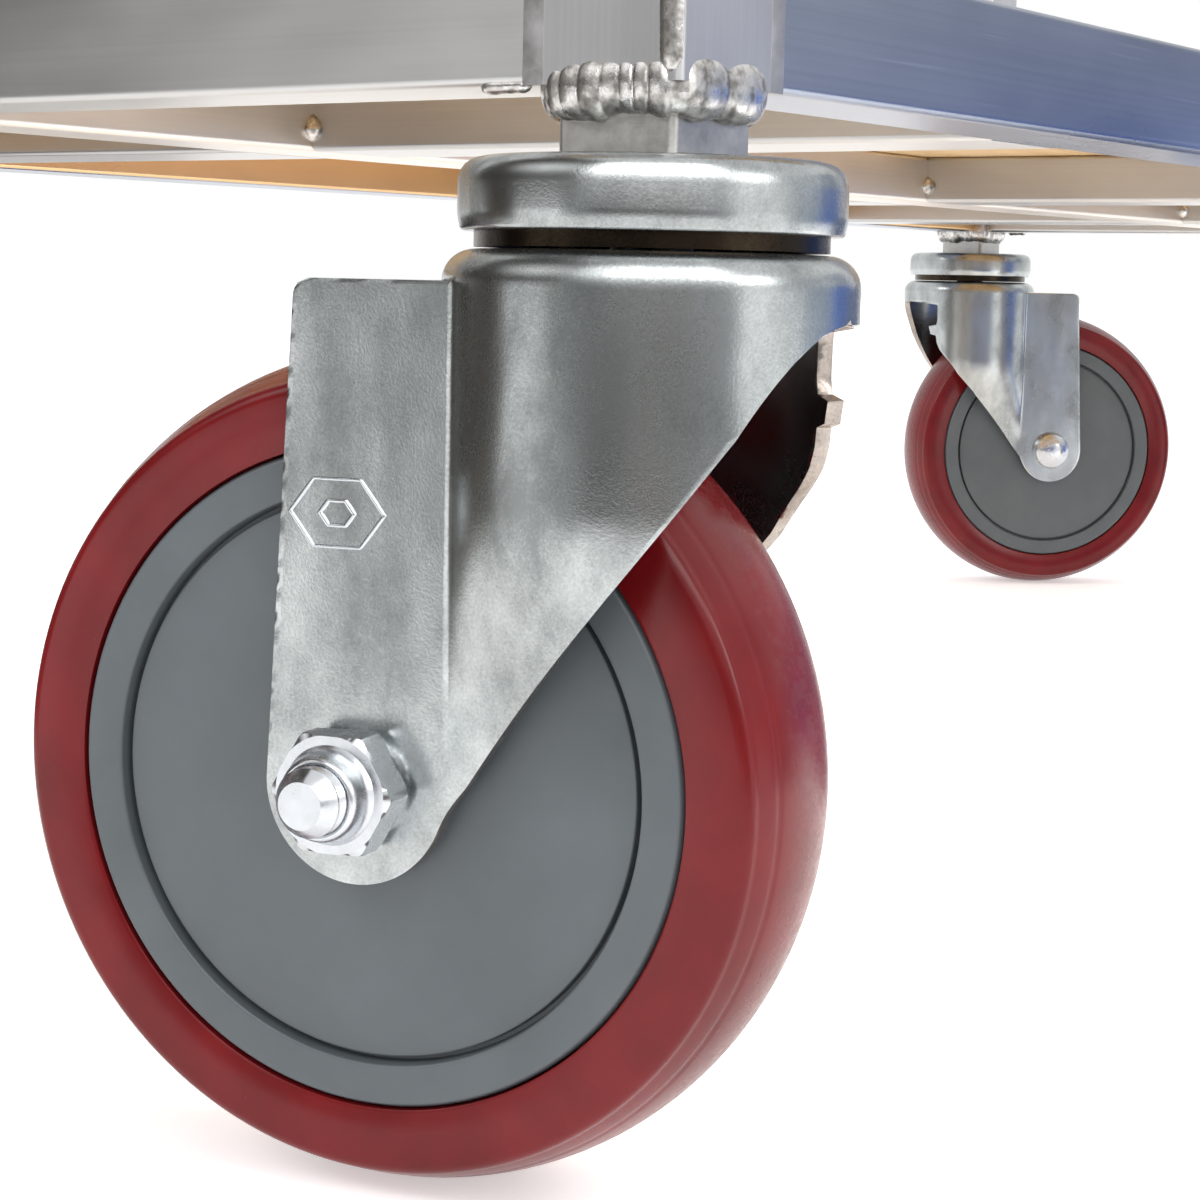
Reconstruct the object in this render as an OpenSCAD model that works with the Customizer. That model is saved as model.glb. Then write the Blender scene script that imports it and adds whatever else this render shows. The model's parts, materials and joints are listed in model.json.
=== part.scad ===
// Narrow rolling baker scaffold: welded square-tube base on four swivel casters,
// two ladder end frames and a plywood platform that slides on the posts and pins at each hole.
// Frame: +X along the length, +Y across, +Z up, origin on the floor under the middle.

/* [Base frame] */
// Length between post centres
base_l = 765; // [640:5:1200]
// Width between post centres
base_w = 337; // [300:1:700]
// Side of the square post tube
post_s = 25; // [22:0.5:40]
// Wall of the post tube
post_wall = 2; // [1.2:0.1:3]
// Height of the post tops above the floor
post_top = 1200; // [1190:10:1800]
// Side of the square base rails, rungs and joists
rail_s = 20; // [15:0.5:30]
// Wall of the rail tube
rail_wall = 1.8; // [1.2:0.1:3]
// Radius of the tubes' outer corners
tube_edge = 1.2; // [0.5:0.1:2]
// Width of the cross bars under the base
cross_w = 28; // [20:1:40]
// Distance of the front and rear cross bars from the middle
cross_x = 248; // [150:1:280]
// Offset of the middle cross bar from the middle
cross_mid_x = 40; // [-60:1:60]
// Thickness of the plywood base deck, let in flush with the rails
base_deck_t = 6; // [4:1:9]
// Offset of the long middle bar from the middle
mid_bar_y = 14; // [-60:1:60]
// Height of the first ladder rung above the base rail
first_rung = 250; // [200:10:320]
// Spacing of the ladder rungs
rung_pitch = 250; // [200:10:320]
// Number of ladder rungs at each end
rung_n = 4; // [3:1:4]

/* [Caster] */
// Diameter of the wheel
wheel_d = 127; // [100:1:150]
// Width of the tyre
tyre_w = 33.6; // [28:0.2:40]
// Thickness of the tyre over the wheel core
tyre_t = 14.3; // [10:0.1:20]
// Drop of the crowned tread at its edges
tread_drop = 5; // [1:0.1:7]
// Distance of the cover's groove inside the tyre
groove_inset = 7.2; // [4:0.2:12]
// Radius of the wheel hub
hub_r = 13; // [10:0.5:18]
// Radius of the axle bolt
axle_r = 5; // [4:0.1:6]
// Distance of the axle behind the swivel axis
trail = 35.9; // [28:0.1:42]
// Thickness of the pressed fork
fork_t = 2.5; // [2:0.1:3.5]
// Side gap between the tyre and the fork
fork_gap = 2; // [1.5:0.1:4]
// Gap between the top of the wheel and the fork crown
crown_gap = 4; // [3:0.5:8]
// Height of the fork crown
crown_h = 10; // [8:0.5:12]
// Radius of the fork crown
crown_r = 30; // [28:0.5:34]
// Radius of the rounded fork foot round the axle
foot_r = 14.5; // [13:0.5:18]
// Gap between the crown and the raceway cap
race_gap = 2.5; // [1:0.1:4]
// Radius of the raceway cap
cap_r = 27.9; // [26:0.1:32]
// Height of the raceway cap
cap_h = 10.5; // [8:0.5:14]
// Rounding of the raceway cap's upper edge
cap_edge = 6; // [2:0.5:7]
// Radius of the kingpin
king_r = 6; // [5:0.5:8]
// Length of stub that shows under the post
stub_show = 10; // [6:1:20]
// Depth of the stub inside the post
stub_in = 70; // [40:5:120]
// Heading of each caster's wheel, corner by corner
caster_turn = [102.6, 132.8, -47.2, -47.2];

/* [Platform] */
// Height of the deck's top face above the floor at its lowest hole
deck_z = 700; // [650:10:900]
// Thickness of the plywood deck
deck_t = 12; // [9:1:18]
// Height of the platform's side rails
deck_rail_h = 50; // [40:1:70]
// Wall of the sliding sleeves
sleeve_t = 3; // [2:0.5:5]
// Height of the sliding sleeves
sleeve_h = 90; // [60:5:120]
// Number of joists under the deck
joist_n = 3; // [2:1:4]
// Rivets along each side of the deck
rivet_n = 6; // [3:1:8]

/* [Pull pins] */
// Radius of the pull pin
pin_r = 5; // [4:0.1:6]
// Travel of the pull pin
pin_travel = 12; // [10:1:16]
// Spacing of the pin holes up the post
hole_pitch = 50; // [40:5:75]
// Number of pin holes in each post
hole_n = 7; // [5:1:8]
// Radius of the pull pin's housing
housing_r = 9; // [8:0.5:12]
// Length of the pull pin's housing
housing_l = 18; // [14:1:24]
// Radius of the pull knob
knob_r = 11; // [8:0.5:14]
// Length of the pull knob
knob_l = 14; // [12:1:20]

/* [Fits] */
// Radial clearance of turning and sliding pins
run_fit = 0.06; // [0.02:0.01:0.1]
// Clearance of a pull pin in the post's holes
hole_fit = 0.4; // [0.3:0.05:0.8]
// Clearance between a sleeve and its post
sleeve_fit = 0.4; // [0.3:0.05:1]
// Clearance between a caster stub and its post
stub_fit = 0.5; // [0.2:0.05:1]
// Gap between faces that turn past each other
turn_gap = 0.3; // [0.2:0.05:0.6]
// Radius of the accessory holes at the post tops
accessory_r = 5; // [4:0.5:6]

/* [Hidden] */
$fn = 72;

// Corners 1 to 4, as signs along X and Y
CORNERS = [[-1, -1], [-1, 1], [1, 1], [1, -1]];
END_FRONT = -1;
END_REAR = 1;
SIDE_RIGHT = -1;
SIDE_LEFT = 1;

// Caster heights from the floor up
wheel_r = wheel_d / 2;
crown_z = wheel_d + crown_gap;
crown_top = crown_z + crown_h;
cap_z = crown_top + race_gap;
cap_top = cap_z + cap_h;
rail_z = cap_top + stub_show;
stub_s = post_s - 2 * (post_wall + stub_fit);
core_r = wheel_r - tyre_t;
groove_r = core_r - groove_inset;
fork_in = tyre_w / 2 + fork_gap;
fork_out = fork_in + fork_t;
hub_half = fork_in - turn_gap;

// Fork outline, measured back from the swivel axis and up from the floor
fork_back = trail + foot_r;
fork_front = -crown_r * 0.7;
fork_back_lean = 4;
skirt_drop = 13;
flange_drop = 6;
flange_z = crown_top - flange_drop;
crown_edge = 4;

// Raceway, kingpin and bearing
race_in = 14;
race_out = 24;
race_depth = 4;
race_lip_t = 1.5;
race_lip_h = race_gap - turn_gap;
ball_r = (race_gap + race_depth - turn_gap) / 2;
ball_ring_r = (race_in + race_out) / 2;
ball_n = 16;
king_head_r = 9;
king_head_h = 4;

// Axle bolt and lock nut
nut_flats = 17;
nut_hex_h = 7.5;
nut_h = 12;
nut_ring_r = 7.4;
collar_r = 10.5;
collar_h = 1.5;
bolt_end = 4;
bolt_head_r = 8.5;
bolt_head_h = 5;

// Base frame
half_l = base_l / 2;
half_w = base_w / 2;
half_post = post_s / 2;
rail_flush = half_post - rail_s / 2;
end_rail_len = base_w - post_s;
side_rail_len = base_l - post_s;
cross_len = base_w + post_s - 2 * rail_s;
middle_len = base_l + post_s - 2 * rail_s;
bar_h = rail_s - base_deck_t;
deck_notch_gap = 2;
screw_r = 4;
screw_h = 2;
screw_inset = 48;
post_h = post_top - rail_z;
bead_h = 5;
bead_s = post_s - 1;
post_cap_t = 3;
post_cap_in = 15;
accessory_drop = 30;

// Platform
sleeve_in = half_post + sleeve_fit;
sleeve_out = sleeve_in + sleeve_t;
deck_frame_z = deck_z - deck_t - deck_rail_h;
pin_z = deck_frame_z + deck_rail_h / 2;
deck_half_l = half_l - sleeve_out;
deck_half_w = half_w - rail_s / 2;
deck_end_x = deck_half_l - rail_s / 2;
joist_h = rail_s;
deck_rim_gap = 1;
board_half_l = deck_half_l - deck_rim_gap;
board_half_w = half_w + rail_s / 2;
rivet_r = 4;
rivet_h = 1.6;
rivet_fit = 0.2;

// Pull pins, measured outward from the post's centre line
hole_r = pin_r + hole_fit;
bush_r = pin_r + run_fit;
pin_pulled_in = 0.6;
pin_tip = sleeve_out + pin_pulled_in - pin_travel;
housing_end = sleeve_out + housing_l;
pin_head_gap = 0.5;
pin_neck_l = 5;
knob_wall = 2;
knob_from = housing_end + pin_head_gap;
pin_end = knob_from + knob_l - knob_wall;
knob_edge = 2.5;
knob_waist = 2;

eps = 0.01;

// Puts a piece at a corner, on the post's centre line
module at_corner(i) translate([CORNERS[i - 1][0] * half_l, CORNERS[i - 1][1] * half_w, 0]) children();

// Puts a piece at a corner with +Y turned outwards
module at_corner_out(i) at_corner(i) mirror([0, CORNERS[i - 1][1] < 0 ? 1 : 0, 0]) children();

// Puts a piece in a caster's own frame: +X towards the wheel, +Y towards the nut
module at_caster(i) at_corner(i) rotate([0, 0, caster_turn[i - 1]]) children();

// Rectangle with rounded corners, centred on x = 0 and standing on y = 0
module round_rect(w, h, r) {
  translate([-w / 2 + r, 0]) square([w - 2 * r, h]);
  translate([-w / 2, r]) square([w, h - 2 * r]);
  for (x = [-w / 2 + r, w / 2 - r], y = [r, h - r]) translate([x, y]) circle(r);
}

module tube_section(w, h, wall) {
  difference() {
    round_rect(w, h, tube_edge);
    translate([-w / 2 + wall, wall]) square([w - 2 * wall, h - 2 * wall]);
  }
}

// Tube along X, centred on its middle, with its underside at z = 0
module tube_x(len, w, h, wall) {
  translate([-len / 2, 0, 0]) rotate([90, 0, 90]) linear_extrude(len) tube_section(w, h, wall);
}

module tube_y(len, w, h, wall) rotate([0, 0, 90]) tube_x(len, w, h, wall);

// Cylinder along +Y from y = from
module rod_y(r, len, from = 0, z = 0) translate([0, from, z]) rotate([-90, 0, 0]) cylinder(r = r, h = len);

// Disc whose upper edge is rounded
module domed_disc(r, h, edge, bore) {
  rotate_extrude() {
    difference() {
      union() {
        square([r, h - edge]);
        square([r - edge, h]);
        translate([r - edge, h - edge]) circle(edge);
      }
      translate([-r, -edge]) square([2 * r, edge]);
      translate([-r, -edge]) square([r + bore, h + 2 * edge]);
    }
  }
}

/* Root: the welded frame */

module post(i) {
  color("lightgray")
    at_corner_out(i)
      difference() {
        translate([0, -half_post, rail_z]) linear_extrude(post_h) tube_section(post_s, post_s, post_wall);
        for (k = [0 : hole_n - 1])
          rod_y(hole_r, half_post + eps, 0, pin_z + k * hole_pitch);
        translate([-half_post - eps, 0, post_top - accessory_drop])
          rotate([0, 90, 0]) cylinder(r = accessory_r, h = post_s + 2 * eps);
      }
}

module end_rail(end) {
  color("silver")
    translate([end * (half_l + rail_flush), 0, rail_z])
      tube_y(end_rail_len, rail_s, rail_s, rail_wall);
}

module side_rail(side) {
  color("lightsteelblue")
    translate([0, side * (half_w + rail_flush), rail_z])
      tube_x(side_rail_len, rail_s, rail_s, rail_wall);
}

// The cross bars are cut to clear the long middle bar, which runs through
module cross_bar(x) {
  color("silver")
    translate([x, 0, rail_z])
      difference() {
        tube_y(cross_len, cross_w, bar_h, rail_wall);
        translate([-cross_w, mid_bar_y - rail_s / 2, -eps]) cube([2 * cross_w, rail_s, bar_h + 2 * eps]);
      }
}

module middle_bar() {
  color("silver")
    translate([0, mid_bar_y, rail_z])
      tube_x(middle_len, rail_s, bar_h, rail_wall);
}

// Plywood panel on the bars, notched round the posts
module base_deck() {
  notch = half_post + deck_notch_gap;
  color("burlywood")
    difference() {
      translate([-middle_len / 2 + deck_rim_gap, -cross_len / 2 + deck_rim_gap, rail_z + bar_h])
        cube([middle_len - 2 * deck_rim_gap, cross_len - 2 * deck_rim_gap, base_deck_t]);
      for (i = [1 : 4])
        at_corner(i) translate([-notch, -notch, rail_z]) cube([2 * notch, 2 * notch, 2 * rail_s]);
      at_screws() translate([0, 0, -screw_h]) cylinder(r = screw_r + rivet_fit, h = screw_h + eps);
    }
}

// Screws sit flush in the base deck, over the cross bars
module at_screws() {
  for (x = [-cross_x, cross_mid_x, cross_x], side = [SIDE_RIGHT, SIDE_LEFT])
    translate([x, side * (cross_len / 2 - screw_inset), rail_z + bar_h + base_deck_t]) children();
}

module base_screws() {
  color("lightgray")
    at_screws() translate([0, 0, -screw_h]) cylinder(r = screw_r, h = screw_h);
}

module rungs(end) {
  color("silver")
    for (k = [0 : rung_n - 1])
      translate([end * half_l, 0, rail_z + first_rung + k * rung_pitch])
        tube_y(end_rail_len, rail_s, rail_s, rail_wall);
}

module caster_stubs() {
  color("gainsboro")
    for (i = [1 : 4])
      at_corner(i)
        translate([0, -stub_s / 2, cap_top])
          linear_extrude(stub_show + stub_in) round_rect(stub_s, stub_s, tube_edge);
}

module weld_beads() {
  color("gainsboro")
    for (i = [1 : 4])
      at_corner(i)
        difference() {
          translate([-bead_s / 2, -bead_s / 2, rail_z - bead_h]) cube([bead_s, bead_s, bead_h]);
          translate([-stub_s / 2, -stub_s / 2, rail_z - 2 * bead_h]) cube([stub_s, stub_s, 3 * bead_h]);
        }
}

module raceway_caps() {
  color("lightslategray")
    for (i = [1 : 4])
      at_corner(i) translate([0, 0, cap_z])
        difference() {
          union() {
            domed_disc(cap_r, cap_h, cap_edge, king_r);
            // Dust lip, down to the crown
            translate([0, 0, -race_lip_h])
              difference() {
                cylinder(r = race_out + race_lip_t, h = race_lip_h + eps);
                translate([0, 0, -eps]) cylinder(r = race_out, h = race_lip_h + 3 * eps);
              }
          }
          // Ball race, open underneath
          translate([0, 0, -eps])
            difference() {
              cylinder(r = race_out, h = race_depth + eps);
              translate([0, 0, -eps]) cylinder(r = race_in, h = race_depth + 3 * eps);
            }
        }
}

module kingpins() {
  color("dimgray")
    for (i = [1 : 4])
      at_corner(i) {
        translate([0, 0, crown_z - turn_gap]) cylinder(r = king_r, h = cap_top - crown_z + turn_gap);
        translate([0, 0, crown_z - turn_gap - king_head_h]) cylinder(r = king_head_r, h = king_head_h);
      }
}

module bearing_balls() {
  color("dimgray")
    for (i = [1 : 4])
      at_corner(i)
        for (k = [1 : ball_n])
          rotate([0, 0, k * 360 / ball_n]) translate([ball_ring_r, 0, cap_z + race_depth - ball_r]) sphere(ball_r);
}

module post_caps() {
  inner = post_s - 2 * post_wall;
  color("black")
    for (i = [1 : 4])
      at_corner(i) {
        translate([-half_post, -half_post, post_top]) cube([post_s, post_s, post_cap_t]);
        translate([-inner / 2, -inner / 2, post_top - post_cap_in]) cube([inner, inner, post_cap_in]);
      }
}

/* Platform: deck, frame, sleeves and pin housings */

module deck_board() {
  color("burlywood")
    difference() {
      translate([-board_half_l, -board_half_w, deck_z - deck_t])
        cube([2 * board_half_l, 2 * board_half_w, deck_t]);
      at_rivets() translate([0, 0, -rivet_h]) cylinder(r = rivet_r + rivet_fit, h = rivet_h + eps);
    }
}

module deck_rail(side) {
  color("silver")
    translate([0, side * half_w, deck_frame_z])
      tube_x(2 * deck_half_l, rail_s, deck_rail_h, rail_wall);
}

module deck_ends() {
  color("silver")
    for (end = [END_FRONT, END_REAR])
      translate([end * deck_end_x, 0, deck_frame_z])
        tube_y(2 * deck_half_w, rail_s, deck_rail_h, rail_wall);
}

module deck_joists() {
  color("silver")
    for (k = [1 : joist_n])
      translate([-deck_end_x + k * 2 * deck_end_x / (joist_n + 1), 0, deck_z - deck_t - joist_h])
        tube_y(2 * deck_half_w, rail_s, joist_h, rail_wall);
}

// Sleeves wrap three sides of each post and stay open towards the rungs
module deck_sleeves() {
  color("slategray")
    for (i = [1 : 4])
      at_corner_out(i)
        difference() {
          translate([-sleeve_out, -half_post, pin_z - sleeve_h / 2])
            cube([2 * sleeve_out, half_post + sleeve_out, sleeve_h]);
          translate([-sleeve_in, -half_post - eps, pin_z - sleeve_h / 2 - eps])
            cube([2 * sleeve_in, half_post + sleeve_in + eps, sleeve_h + 2 * eps]);
          rod_y(bush_r, sleeve_t + 2 * eps, sleeve_in - eps, pin_z);
        }
}

// Rivets sit flush in the deck, along both side rails
module at_rivets() {
  for (side = [SIDE_RIGHT, SIDE_LEFT], k = [0 : rivet_n - 1])
    translate([-deck_end_x + k * 2 * deck_end_x / (rivet_n - 1), side * half_w, deck_z]) children();
}

module deck_rivets() {
  color("lightgray")
    at_rivets() translate([0, 0, -rivet_h]) cylinder(r = rivet_r, h = rivet_h);
}

module pin_housings() {
  color("dimgray")
    for (i = [1 : 4])
      at_corner_out(i)
        difference() {
          rod_y(housing_r, housing_l, sleeve_out, pin_z);
          rod_y(bush_r, housing_l + 2 * eps, sleeve_out - eps, pin_z);
        }
}

/* Pull pins */

module pull_pin(i) {
  color("silver")
    at_corner_out(i) rod_y(pin_r, pin_end - pin_tip, pin_tip, pin_z);
}

// Turned knob, narrower at its neck and blind at its outer end
module pull_knob(i) {
  color("black")
    at_corner_out(i)
      difference() {
        union() {
          rod_y(knob_r - knob_waist, pin_neck_l, knob_from, pin_z);
          translate([0, knob_from + pin_neck_l, pin_z])
            rotate([-90, 0, 0]) domed_disc(knob_r, knob_l - pin_neck_l, knob_edge, 0);
        }
        rod_y(pin_r, pin_end - knob_from + eps, knob_from - eps, pin_z);
      }
}

/* Casters */

// One pressed side of the fork, from the crown down to the rounded foot
module fork_side_outline() {
  polygon([
    [fork_front, flange_z],
    [fork_front, crown_z - skirt_drop],
    [-trail / 3, wheel_r + foot_r * 2],
    [trail - foot_r * cos(30), wheel_r - foot_r * sin(30)],
    [trail, wheel_r],
    [fork_back, wheel_r],
    [fork_back - fork_back_lean, flange_z]
  ]);
  translate([trail, wheel_r]) circle(foot_r);
}

module fork(i) {
  color("lightslategray")
    at_caster(i)
      difference() {
        union() {
          translate([0, 0, crown_z]) domed_disc(crown_r, crown_h, crown_edge, king_r + run_fit);
          // Skirt round the front of the crown
          difference() {
            translate([0, 0, crown_z - skirt_drop]) cylinder(r = crown_r, h = skirt_drop + eps);
            translate([0, 0, crown_z - skirt_drop - eps])
              cylinder(r = crown_r - fork_t, h = skirt_drop + 3 * eps);
            translate([crown_r / 2, -crown_r, crown_z - skirt_drop - eps])
              cube([crown_r, 2 * crown_r, skirt_drop + eps]);
          }
          for (side = [-fork_out, fork_in])
            translate([0, side + fork_t, 0])
              rotate([90, 0, 0]) linear_extrude(fork_t) fork_side_outline();
        }
        translate([trail, 0, 0]) rod_y(axle_r, 2 * fork_out + 2 * eps, -fork_out - eps, wheel_r);
      }
}

module axle_bolt(i) {
  color("dimgray")
    at_caster(i) translate([trail, 0, 0]) {
      rod_y(axle_r, 2 * fork_out + nut_h + bolt_end, -fork_out, wheel_r);
      rod_y(bolt_head_r, bolt_head_h, -fork_out - bolt_head_h, wheel_r);
    }
}

module axle_nut(i) {
  color("lightgray")
    at_caster(i) translate([trail, 0, 0])
      difference() {
        union() {
          rod_y(collar_r, collar_h, fork_out, wheel_r);
          translate([0, fork_out, wheel_r])
            rotate([-90, 0, 0]) cylinder(r = nut_flats / sqrt(3), h = nut_hex_h, $fn = 6);
          rod_y(nut_ring_r, nut_h, fork_out, wheel_r);
        }
        rod_y(axle_r, nut_h + 2 * eps, fork_out - eps, wheel_r);
      }
}

// Turns a profile drawn as radius and width into a solid about the axle
module about_axle(i) at_caster(i) translate([trail, 0, wheel_r]) rotate([-90, 0, 0]) rotate_extrude() children();

module tyre(i) {
  half = tyre_w / 2;
  crown = (half * half + tread_drop * tread_drop) / (2 * tread_drop);
  color("firebrick")
    about_axle(i)
      intersection() {
        translate([core_r, -half]) square([wheel_r - core_r, tyre_w]);
        translate([wheel_r - crown, 0]) circle(crown, $fn = 180);
      }
}

module wheel_core(i) {
  half = tyre_w / 2;
  groove_w = 1.2;
  color("slategray")
    about_axle(i)
      difference() {
        union() {
          translate([axle_r + run_fit, -half]) square([core_r - axle_r - run_fit, tyre_w]);
          translate([axle_r + run_fit, -hub_half]) square([hub_r - axle_r - run_fit, 2 * hub_half]);
        }
        for (side = [-1, 1])
          translate([groove_r, side * half - groove_w]) square([groove_w, 2 * groove_w]);
      }
}

end_rail(END_FRONT);  // end_rail_front
end_rail(END_REAR);  // end_rail_rear
side_rail(SIDE_RIGHT);  // side_rail_right
side_rail(SIDE_LEFT);  // side_rail_left
middle_bar();
cross_bar(-cross_x);  // cross_bar_front
cross_bar(cross_mid_x);  // cross_bar_middle
cross_bar(cross_x);  // cross_bar_rear
rungs(END_FRONT);  // rungs_front
rungs(END_REAR);  // rungs_rear
caster_stubs();
weld_beads();
raceway_caps();
kingpins();
bearing_balls();
post_caps();
base_deck();
base_screws();
deck_board();
deck_rail(SIDE_RIGHT);  // deck_rail_right
deck_rail(SIDE_LEFT);  // deck_rail_left
deck_ends();
deck_joists();
deck_sleeves();
deck_rivets();
pin_housings();
for (i = [1 : 4]) {
  post(i);
  pull_pin(i);
  pull_knob(i);
  fork(i);
  axle_bolt(i);
  axle_nut(i);
  tyre(i);
  wheel_core(i);
}
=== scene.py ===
import json
import math

import bmesh
import bpy
import numpy as np
from mathutils import Euler, Matrix, Vector


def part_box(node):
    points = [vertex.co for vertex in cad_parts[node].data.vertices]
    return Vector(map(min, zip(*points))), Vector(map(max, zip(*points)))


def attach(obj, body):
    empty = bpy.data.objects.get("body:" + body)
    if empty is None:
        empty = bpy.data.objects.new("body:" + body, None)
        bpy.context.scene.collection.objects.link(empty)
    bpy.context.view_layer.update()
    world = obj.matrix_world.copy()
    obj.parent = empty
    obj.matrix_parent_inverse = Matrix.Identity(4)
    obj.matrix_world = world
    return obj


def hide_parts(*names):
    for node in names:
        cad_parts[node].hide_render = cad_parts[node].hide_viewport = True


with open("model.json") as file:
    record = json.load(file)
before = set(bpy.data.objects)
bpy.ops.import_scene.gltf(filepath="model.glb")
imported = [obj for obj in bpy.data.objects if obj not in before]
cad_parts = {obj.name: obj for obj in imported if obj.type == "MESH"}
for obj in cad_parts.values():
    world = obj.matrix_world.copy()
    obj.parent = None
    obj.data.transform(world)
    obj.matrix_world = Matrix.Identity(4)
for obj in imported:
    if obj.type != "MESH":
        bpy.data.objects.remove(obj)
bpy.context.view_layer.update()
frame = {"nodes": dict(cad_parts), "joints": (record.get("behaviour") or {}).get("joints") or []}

MM = 0.001
TAU = 2 * math.pi
CORNERS = (1, 2, 3, 4)


# ---------------------------------------------------------------- places read from the frame

def low(node):
    """Lowest corner of a frame node's box."""
    return np.array(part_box(node)[0])


def high(node):
    """Highest corner of a frame node's box."""
    return np.array(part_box(node)[1])


JOINTS = {j["name"]: j for j in frame["joints"]}
WHEEL_R = high("tyre_1")[2] / 2
AXLE_R = 5.0 * MM
RAIL_Z = low("post_1")[2]
RAIL_TOP = high("side_rail_right")[2]
STUB_LOW = low("caster_stubs")[2]
CAP_LOW = STUB_LOW - 10.5 * MM
CROWN_TOP = high("fork_1")[2]
CROWN_LOW = low("kingpins")[2] + 4.3 * MM
POST_HALF = (high("post_1")[0] - low("post_1")[0]) / 2
TYRE_HALF = 16.8 * MM
CORE_R = 49.2 * MM
TRAIL = 35.9 * MM
FORK_OUT = 21.3 * MM
FORK_T = 2.5 * MM
CROWN_R = 30.0 * MM
CAP_R = 27.9 * MM


def corner_xy(i):
    """Plan position of a corner's post, the middle of its box."""
    return (low(f"post_{i}") + high(f"post_{i}"))[:2] / 2


def in_caster(i, local):
    """Maps points (back, side, up) of a caster to the frame.

    back runs from the swivel axis towards the axle, and side towards the nut.
    """
    nut_way = np.array(JOINTS[f"wheel_spin_{i}"]["axis"])
    back_way = np.array([nut_way[1], -nut_way[0], 0.0])
    origin = np.append(corner_xy(i), 0.0)
    local = np.asarray(local, float)
    up = np.array([0.0, 0.0, 1.0])
    return origin + local[..., :1] * back_way + local[..., 1:2] * nut_way + local[..., 2:] * up


# ---------------------------------------------------------------- mesh tools

def make_piece(name, verts, faces, material, body, slot, smooth_angle=40, closed=True):
    """One mesh object from points and faces: doubles joined, faces turned outwards, riding on a body."""
    mesh = bpy.data.meshes.new(name)
    mesh.from_pydata(np.asarray(verts).reshape(-1, 3).tolist(), [], faces)
    work = bmesh.new()
    work.from_mesh(mesh)
    bmesh.ops.remove_doubles(work, verts=work.verts, dist=2e-6)
    bmesh.ops.dissolve_degenerate(work, edges=work.edges, dist=1e-6)
    if closed:
        bmesh.ops.recalc_face_normals(work, faces=work.faces)
    work.to_mesh(mesh)
    work.free()
    mesh.polygons.foreach_set("use_smooth", np.ones(len(mesh.polygons), bool))
    mesh.set_sharp_from_angle(angle=math.radians(smooth_angle))
    mesh.materials.append(material)
    piece = bpy.data.objects.new(name, mesh)
    bpy.context.scene.collection.objects.link(piece)
    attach(piece, body)
    return piece


def strip_faces(rows, columns, wrap_rows=False, wrap_columns=True, start=0):
    """Quads between neighbouring points of a rows by columns grid, as index lists."""
    grid = np.arange(rows * columns).reshape(rows, columns) + start
    down = np.roll(grid, -1, 0) if wrap_rows else grid[1:]
    here = grid if wrap_rows else grid[:-1]
    if wrap_columns:
        quads = np.stack([here, np.roll(here, -1, 1), np.roll(down, -1, 1), down], -1)
    else:
        quads = np.stack([here[:, :-1], here[:, 1:], down[:, 1:], down[:, :-1]], -1)
    return quads.reshape(-1, 4).tolist()


def skin(name, rings, material, body, slot, loop=False, **options):
    """A skin over rings of points: ring k joins ring k + 1, and the ends are closed or joined."""
    rings = np.asarray(rings, float)
    count, around = rings.shape[:2]
    faces = strip_faces(count, around, wrap_rows=loop)
    if not loop:
        faces.append(list(range(around))[::-1])
        faces.append(list(range((count - 1) * around, count * around)))
    return make_piece(name, rings, faces, material, body, slot, **options)


def skins(name, parts, material, body, slot, **options):
    """Several closed skins in one piece: parts is a list of ring arrays."""
    verts = []
    faces = []
    start = 0
    for rings in parts:
        count, around = rings.shape[:2]
        faces += strip_faces(count, around, start=start)
        faces.append(list(range(start, start + around))[::-1])
        faces.append(list(range(start + (count - 1) * around, start + count * around)))
        verts.append(rings.reshape(-1, 3))
        start += count * around
    return make_piece(name, np.concatenate(verts), faces, material, body, slot, **options)


def rounded(points, radii, steps=5):
    """Polyline with soft corners: each is a quadratic sweep between points cut back by its radius."""
    points = np.asarray(points, float)
    out = [points[0]]
    for before, here, after, r in zip(points[:-2], points[1:-1], points[2:], radii):
        back = before - here
        on = after - here
        a = here + back / np.linalg.norm(back) * min(r, np.linalg.norm(back) * 0.49)
        b = here + on / np.linalg.norm(on) * min(r, np.linalg.norm(on) * 0.49)
        t = np.linspace(0, 1, steps + 1)[:, None]
        out.extend((1 - t) ** 2 * a + 2 * t * (1 - t) * here + t ** 2 * b)
    out.append(points[-1])
    return np.array(out)


def turned(profile, centre, axis, segments=96):
    """Rings of a (radius, height) profile turned about an axis.

    A point lies at the centre, plus its height along the axis, plus its radius times (cos, sin) across it.
    """
    axis = np.asarray(axis, float)
    side = np.cross(axis, [0.0, 0.0, 1.0]) if abs(axis[2]) < 0.9 else np.array([1.0, 0.0, 0.0])
    side = side / np.linalg.norm(side)
    other = np.cross(axis, side)
    angle = np.linspace(0, TAU, segments, endpoint=False)
    round_way = np.cos(angle)[:, None] * side + np.sin(angle)[:, None] * other
    profile = np.asarray(profile, float)
    return np.asarray(centre) + profile[:, 1, None, None] * axis + profile[:, 0, None, None] * round_way


def rounded_rectangle(width, depth, radius, steps=4):
    """Closed outline of a rectangle about the origin, with quarter circles at its corners."""
    quarter = np.linspace(0, math.pi / 2, steps + 1)
    outline = []
    for k, (sx, sy) in enumerate(((1, 1), (-1, 1), (-1, -1), (1, -1))):
        angle = quarter + k * math.pi / 2
        centre = np.array([sx * (width / 2 - radius), sy * (depth / 2 - radius)])
        outline.append(centre + radius * np.stack([np.cos(angle), np.sin(angle)], -1))
    return np.concatenate(outline)


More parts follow.
